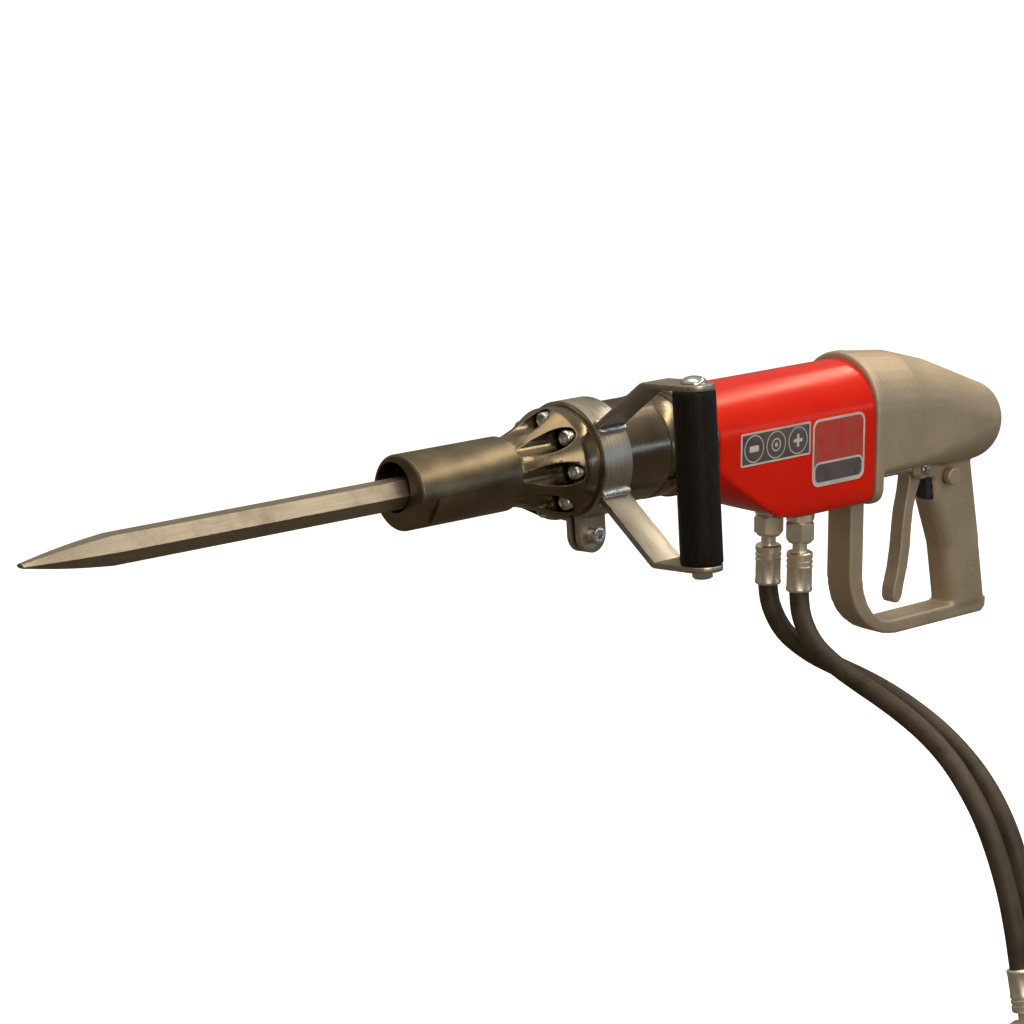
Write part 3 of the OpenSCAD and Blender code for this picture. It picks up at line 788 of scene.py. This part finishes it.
def cast_piece(name, node, voxel, rounds, gain=1800):
    """The CAD node melted to soft cast edges: remeshed evenly, then smoothed."""
    raw = bpy.data.objects.new(name + "_raw", merged_copy(node, False))
    bpy.context.scene.collection.objects.link(raw)
    remesh = raw.modifiers.new("even", "REMESH")
    remesh.mode = "VOXEL"
    remesh.voxel_size = voxel * MM
    soften = raw.modifiers.new("soften", "SMOOTH")
    soften.factor = 0.5
    soften.iterations = rounds
    mesh = flattened(raw, name)
    mesh.materials.clear()
    rub_edges(mesh, gain)
    return piece(name, mesh, node, slot_of[node], smooth=80)


cast_piece("rear_handle_casting", "rear_handle", 1.25, 14)
cast_piece("trigger_lever", "trigger", 0.7, 24)
cast_piece("grip_pin_heads", "grip_pin", 0.55, 3)


# ---- repeated pieces by rule ----
def rule_tree(name, sockets):
    tree = bpy.data.node_groups.new(name, "GeometryNodeTree")
    tree.interface.new_socket("Geometry", in_out="INPUT", socket_type="NodeSocketGeometry")
    made = {}
    for label, kind, value in sockets:
        socket = tree.interface.new_socket(label, in_out="INPUT", socket_type="NodeSocket" + kind)
        socket.default_value = value
        made[label] = socket.identifier
    tree.interface.new_socket("Geometry", in_out="OUTPUT", socket_type="NodeSocketGeometry")
    return tree, made


def grown(name, mesh, tree, made, values, node, smooth=35):
    """Runs a tree on a mesh and keeps the plain mesh that it gives."""
    raw = bpy.data.objects.new(name + "_rule", mesh)
    bpy.context.scene.collection.objects.link(raw)
    rule = raw.modifiers.new("rule", "NODES")
    rule.node_group = tree
    for label, value in values.items():
        rule[made[label]] = value
    done = flattened(raw, name)
    return piece(name, done, node, slot_of[node], smooth=smooth)


def screw_circle():
    """Head screws round the front head: count, circle radius and station are the tree's inputs."""
    tree, made = rule_tree("screw_circle", [("Count", "Int", 8), ("Circle", "Float", 0.0365),
                                            ("Place", "Vector", (0, 0, 0))])
    n, l = tree.nodes, tree.links
    start, end = n.new("NodeGroupInput"), n.new("NodeGroupOutput")
    circle = n.new("GeometryNodeMeshCircle")
    put = n.new("GeometryNodeInstanceOnPoints")
    swing = n.new("GeometryNodeTransform")
    solid = n.new("GeometryNodeRealizeInstances")
    coat = n.new("GeometryNodeSetMaterial")
    coat.inputs["Material"].default_value = look["zinc"]
    l.new(start.outputs["Count"], circle.inputs["Vertices"])
    l.new(start.outputs["Circle"], circle.inputs["Radius"])
    l.new(circle.outputs["Mesh"], put.inputs["Points"])
    l.new(start.outputs["Geometry"], put.inputs["Instance"])
    l.new(put.outputs["Instances"], swing.inputs["Geometry"])
    swing.inputs["Rotation"].default_value = (0, math.radians(90), 0)
    l.new(start.outputs["Place"], swing.inputs["Translation"])
    l.new(swing.outputs["Geometry"], solid.inputs["Geometry"])
    l.new(solid.outputs["Geometry"], coat.inputs["Geometry"])
    l.new(coat.outputs["Geometry"], end.inputs["Geometry"])
    key = hexagon(6.9)
    local = lambda u, v, h: Vector((u, v, h)) * MM
    rings = [(4.0, 0.2), (4.0, key), (0.5, key), (0.1, lambda a: key(a) + 0.35), (0.0, lambda a: key(a) + 0.8),
             (0.0, 4.9), (0.2, 5.4), (0.7, 5.95), (1.5, 6.3), (2.6, 6.5), (7.6, 6.5), (8.0, 6.2), (8.0, 4.0),
             (46.4, 4.0), (47.0, 3.4)]
    points, faces = turned(local, rings, 72)
    one = outward(mesh_of("head_screw", points, faces))
    values = {"Count": 8, "Circle": 36.5 * MM, "Place": tuple(at(149.5, 0, 0))}
    return grown("head_screw_set", one, tree, made, values, "head_screws", 30)


screw_circle()


def weld_rows():
    """Weld beads: overlapping ripples along four lines, a fixed seed for their size."""
    tree, made = rule_tree("weld_row", [("Ripple", "Float", 0.0022), ("Radius", "Float", 0.0027), ("Seed", "Int", 7)])
    n, l = tree.nodes, tree.links
    start, end = n.new("NodeGroupInput"), n.new("NodeGroupOutput")
    line = n.new("GeometryNodeMeshToCurve")
    dots = n.new("GeometryNodeResampleCurve")
    dots.mode = "LENGTH"
    drop = n.new("GeometryNodeMeshIcoSphere")
    drop.inputs["Subdivisions"].default_value = 4
    put = n.new("GeometryNodeInstanceOnPoints")
    vary = n.new("FunctionNodeRandomValue")
    vary.data_type = "FLOAT_VECTOR"
    vary.inputs[0].default_value = (0.72, 0.90, 0.90)
    vary.inputs[1].default_value = (0.95, 1.06, 1.06)
    solid = n.new("GeometryNodeRealizeInstances")
    coat = n.new("GeometryNodeSetMaterial")
    coat.inputs["Material"].default_value = look["weld"]
    l.new(start.outputs["Geometry"], line.inputs["Mesh"])
    l.new(line.outputs["Curve"], dots.inputs["Curve"])
    l.new(start.outputs["Ripple"], dots.inputs["Length"])
    l.new(start.outputs["Radius"], drop.inputs["Radius"])
    l.new(start.outputs["Seed"], vary.inputs["Seed"])
    l.new(dots.outputs["Curve"], put.inputs["Points"])
    l.new(drop.outputs["Mesh"], put.inputs["Instance"])
    l.new(vary.outputs[0], put.inputs["Scale"])
    l.new(put.outputs["Instances"], solid.inputs["Geometry"])
    l.new(solid.outputs["Geometry"], coat.inputs["Geometry"])
    l.new(coat.outputs["Geometry"], end.inputs["Geometry"])
    ends = []
    for u, w in ((42.6, 26.6), (43.4, -24), (38, 33), (38.5, -31.6)):
        ends += [side(-12.4, u, w), side(12.4, u, w)]
    lines = bpy.data.meshes.new("weld_lines")
    lines.from_pydata([tuple(p) for p in ends], [(0, 1), (2, 3), (4, 5), (6, 7)], [])
    return grown("weld_bead_rows", lines, tree, made, {"Ripple": 1.9 * MM, "Radius": 3.1 * MM, "Seed": 7},
                 "weld_beads", 60)


weld_rows()


# ---- hose fittings under the housing ----
def make_fittings():
    adapters, nuts, shells, stems = [], [], [], []
    for s in (-1, 1):
        place = port_place(s)
        adapters.append(turned(place, [(60.2, 6.9), (78.2, 6.9)] + chamfered_hex(22, 78.2, 86.2, 1.1)
                               + [(86.2, 8.3), (94.6, 8.3), (95.2, 7.7)], 96))
        swing = math.radians(18 if s < 0 else 0)
        spun = lambda u, v, h, p=place, q=swing: p(u * math.cos(q) - v * math.sin(q),
                                                   u * math.sin(q) + v * math.cos(q), h)
        nuts.append(turned(spun, [(87.0, 11.0)] + chamfered_hex(22.9, 87.2, 103.0, 1.5)
                           + [(103.0, 10.6), (104.2, 10.3), (105.2, 9.3), (105.4, 8.8)], 96,
                           bore=[(87.0, 8.4), (99.4, 8.4), (99.4, 6.42), (105.4, 6.42)]))
        stems.append(turned(place, [(95.4, 8.2), (100, 8.2), (100, 6.3), (113.4, 6.3)], 64))
        shells.append(crimped_ferrule(place, 112.8))
    piece("port_adapter_pair", joined("port_adapter_pair", adapters), "port_adapters", "fitting", smooth=30)
    piece("swivel_nut_pair", joined("swivel_nut_pair", nuts), "swivel_nuts", "fitting", smooth=30)
    piece("hose_stem_pair", joined("hose_stem_pair", stems), "hose_stems", "fitting", smooth=30)
    piece("crimped_ferrule_pair", joined("crimped_ferrule_pair", shells), "hose_ferrules", "fitting", smooth=30)


make_fittings()


# ---- side grip ----
def make_side_grip():
    place = lambda u, v, h: side(u, GRIP_U + v, h)
    r = 17.0
    rings = [(-72.95, 15.2), (-72.6, 16.2), (-71.8, 16.8), (-70.6, r), (-60, r), (0, r), (51, r), (61.6, r),
             (62.8, 16.8), (63.6, 16.2), (63.95, 15.2)]
    points, faces = turned(place, rings, 96, bore=[(-72.95, 5.3), (63.95, 5.3)])
    piece("side_grip_tube", outward(mesh_of("side_grip_tube", points, faces)), "side_grip", "grip_plastic", smooth=40)
    dome = [(68.9, 5.0), (69.0, 10.2), (69.3, 10.5), (70.2, 10.45), (71.2, 10.0), (72.2, 9.1), (73.2, 7.7),
            (74.0, 6.0), (74.6, 4.0), (74.9, 2.0), (75.0, 0.3)]
    shank = [(-84.0, 4.3), (-83.5, 5.0)]
    points, faces = turned(place, shank + dome, 72)
    piece("grip_bolt_domed", outward(mesh_of("grip_bolt_domed", points, faces)), "grip_bolt", "stainless", smooth=40)


make_side_grip()


# ---- labels ----
def slab(outline, depth0, depth1):
    """A thin plate on the near side of the housing from an outline of (station, height)."""
    ring0 = [at(x, depth0, z) for x, z in outline]
    ring1 = [at(x, depth1, z) for x, z in outline]
    return shell_of_rings([ring0, ring1])


def rounded(x0, z0, x1, z1, r, steps=8):
    pts = []
    for cx, cz, a0 in ((x1 - r, z1 - r, 0), (x0 + r, z1 - r, 90), (x0 + r, z0 + r, 180), (x1 - r, z0 + r, 270)):
        for i in range(steps + 1):
            a = math.radians(a0 + 90 * i / steps)
            pts.append((cx + r * math.cos(a), cz + r * math.sin(a)))
    return pts


def disc(cx, cz, r, steps=48):
    return [(cx + r * math.cos(TAU * i / steps), cz + r * math.sin(TAU * i / steps)) for i in range(steps)]


def printed(name, node, layers):
    """A label of stacked films, each a slab of one ink."""
    points, faces, inks = [], [], []
    for level, outline, ink in layers:
        more, quads = slab(outline, 0.05 - HOUSING_R, -HOUSING_R - 0.40 - 0.05 * level)
        start = len(points)
        points += more
        faces += [tuple(start + i for i in f) for f in quads]
        inks += [ink] * len(quads)
    mesh = mesh_of(name, points, faces)
    mark = mesh.attributes.new("ink", "FLOAT_COLOR", "FACE")
    for i, ink in enumerate(inks):
        mark.data[i].color = (*ink, 1)
    outward(mesh, merge=False)
    return piece(name, mesh, node, "label", smooth=0)


PALE, DARK, RED = (0.78, 0.76, 0.74), (0.060, 0.055, 0.070), (0.56, 0.022, 0.012)


def make_labels():
    strip = [(0, rounded(334, -22, 418, 6, 1.6), PALE), (1, rounded(335.6, -20.4, 416.4, 4.4, 1.0), DARK)]
    for i, cx in enumerate((349.5, 376, 402.5)):
        strip += [(2, disc(cx, -8, 11.6), PALE), (3, disc(cx, -8, 10.7), DARK)]
        if i == 0:
            strip += [(4, rounded(cx - 5.5, -10.6, cx + 5.5, -5.4, 1.0), PALE)]
        elif i == 1:
            strip += [(4, disc(cx, -8, 5.6), PALE), (5, disc(cx, -8, 4.4), DARK), (6, disc(cx, -8, 1.8), PALE)]
        else:
            strip += [(4, rounded(cx - 1.4, -13.5, cx + 1.4, -2.5, 1.0), PALE),
                      (5, rounded(cx - 5.5, -9.4, cx + 5.5, -6.6, 1.0), PALE)]
    printed("safety_strip_label", "decal_strip", strip)
    badge = [(0, rounded(421, -52, 486, 6, 8.0), PALE), (1, rounded(423, -50, 484, 4, 6.4), RED),
             (2, rounded(423, -50, 484, -31, 6.4), PALE), (3, rounded(424.6, -48.4, 482.4, -32.8, 4.8), DARK)]
    printed("badge_label", "decal_badge", badge)


make_labels()

# ---- metal parts whose CAD shape is kept, with broken edges ----
eased("retainer_sleeve", 0.7, "edge", finish="black_satin")
# stop_pad is a black rubber block at the back of the trigger slot; its black is partly a real part and partly painted
# shade, darkening the slot beyond the shade its depth gives.
for node, width, edge in (("front_head", 0.45, "edge"), ("cylinder", 0.4, None), ("lock_ring", 0.5, "edge"),
                          ("collar_ring", 0.5, "edge"), ("clamp_band", 0.7, "plate_edge"),
                          ("bracket_upper", 0.7, "plate_edge"), ("bracket_lower", 0.7, "plate_edge"),
                          ("clamp_screw", 0.45, None), ("clamp_nut", 0.45, None), ("grip_nut", 0.4, None),
                          ("valve_cover", 0.4, "plate_edge"), ("cover_screw", 0.3, None),
                          ("trigger_pin", 0.4, None), ("trigger_clip", 0.25, None), ("stop_pad", 1.0, None)):
    eased(node, width, edge)

# ---- carried-over nodes get their finish ----
for name, obj in nodes.items():
    obj.data.materials.clear()
    obj.data.materials.append(look[slot_of[name]] if slot_of[name] in look else look["label"])
